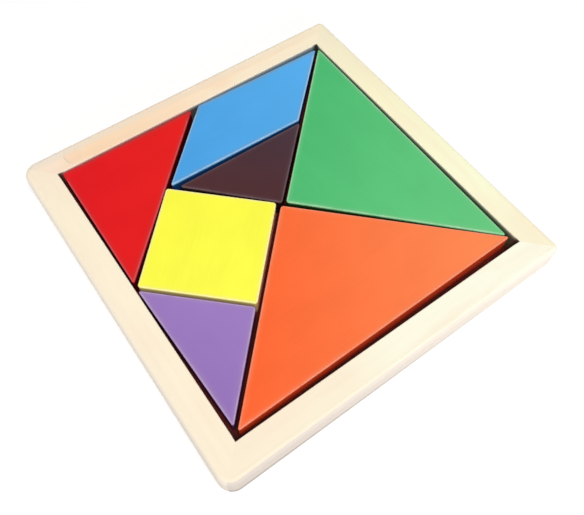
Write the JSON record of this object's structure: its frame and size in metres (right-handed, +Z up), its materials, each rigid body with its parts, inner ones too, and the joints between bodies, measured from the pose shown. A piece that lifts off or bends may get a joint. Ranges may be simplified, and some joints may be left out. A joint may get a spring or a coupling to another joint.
{
  "type": "tangram puzzle",
  "caption": "Square wooden tangram puzzle: painted triangle, square and parallelogram tiles lying loose in a shallow mitred tray.",
  "frame": {"origin": "centre of the tray's underside", "axes": "+Z up out of the open tray; +Y towards the rail behind the parallelogram, +X towards the rail beside the green triangle"},
  "size_m": [0.1152, 0.1152, 0.0095],
  "materials": {
    "bare_pine": "sanded, unvarnished",
    "hardboard": "pressed, smooth face, unpainted",
    "red_paint": "satin paint",
    "blue_paint": "satin paint",
    "brown_paint": "satin paint",
    "green_paint": "satin paint",
    "yellow_paint": "satin paint",
    "purple_paint": "satin paint",
    "orange_paint": "satin paint"
  },
  "bodies": {
    "root": {"rail_front": "bare_pine", "rail_right": "bare_pine", "rail_back": "bare_pine", "rail_left": "bare_pine", "base_panel": "hardboard", "tile_red": "red_paint", "tile_blue": "blue_paint", "tile_brown": "brown_paint", "tile_green": "green_paint", "tile_yellow": "yellow_paint", "tile_purple": "purple_paint", "tile_orange": "orange_paint"}
  },
  "joints": []
}
